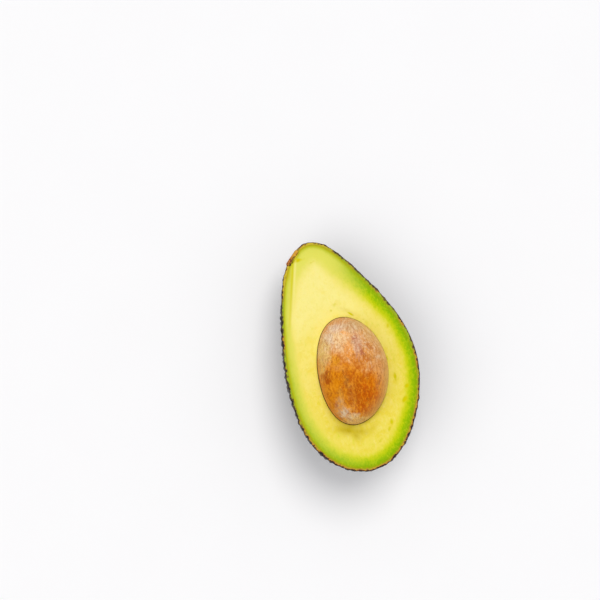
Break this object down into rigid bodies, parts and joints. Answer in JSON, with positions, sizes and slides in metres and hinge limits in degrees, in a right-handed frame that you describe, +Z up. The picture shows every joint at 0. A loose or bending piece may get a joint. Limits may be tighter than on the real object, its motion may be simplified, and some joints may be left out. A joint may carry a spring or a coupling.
{
  "type": "avocado half with its stone",
  "caption": "Halved ripe pebble-skinned avocado with its stone in place, lying on its back on a small flat spot with the cut face up.",
  "frame": {"origin": "on the resting surface, under the middle of the fruit's bounding box", "axes": "+Z up, out of the cut face; +Y along the fruit towards its stem end, which dips 4.5 degrees; +X to the right when the cut face is seen from above with the stem end at the top"},
  "size_m": [0.0644, 0.1116, 0.0477],
  "materials": {
    "skin": "near-black ripe avocado skin, pebbled, waxy satin sheen, with small rust and olive specks",
    "flesh": "moist buttery flesh, cream yellow inside and lime green under the skin",
    "stone": "smooth orange-brown seed coat with pale, pinkish grey papery patches",
    "stem_button": "dry corky stem tissue, golden where it is cut"
  },
  "bodies": {
    "root": {"skin": "skin", "flesh": "flesh", "stone": "stone", "stem_button": "stem_button"}
  },
  "joints": []
}
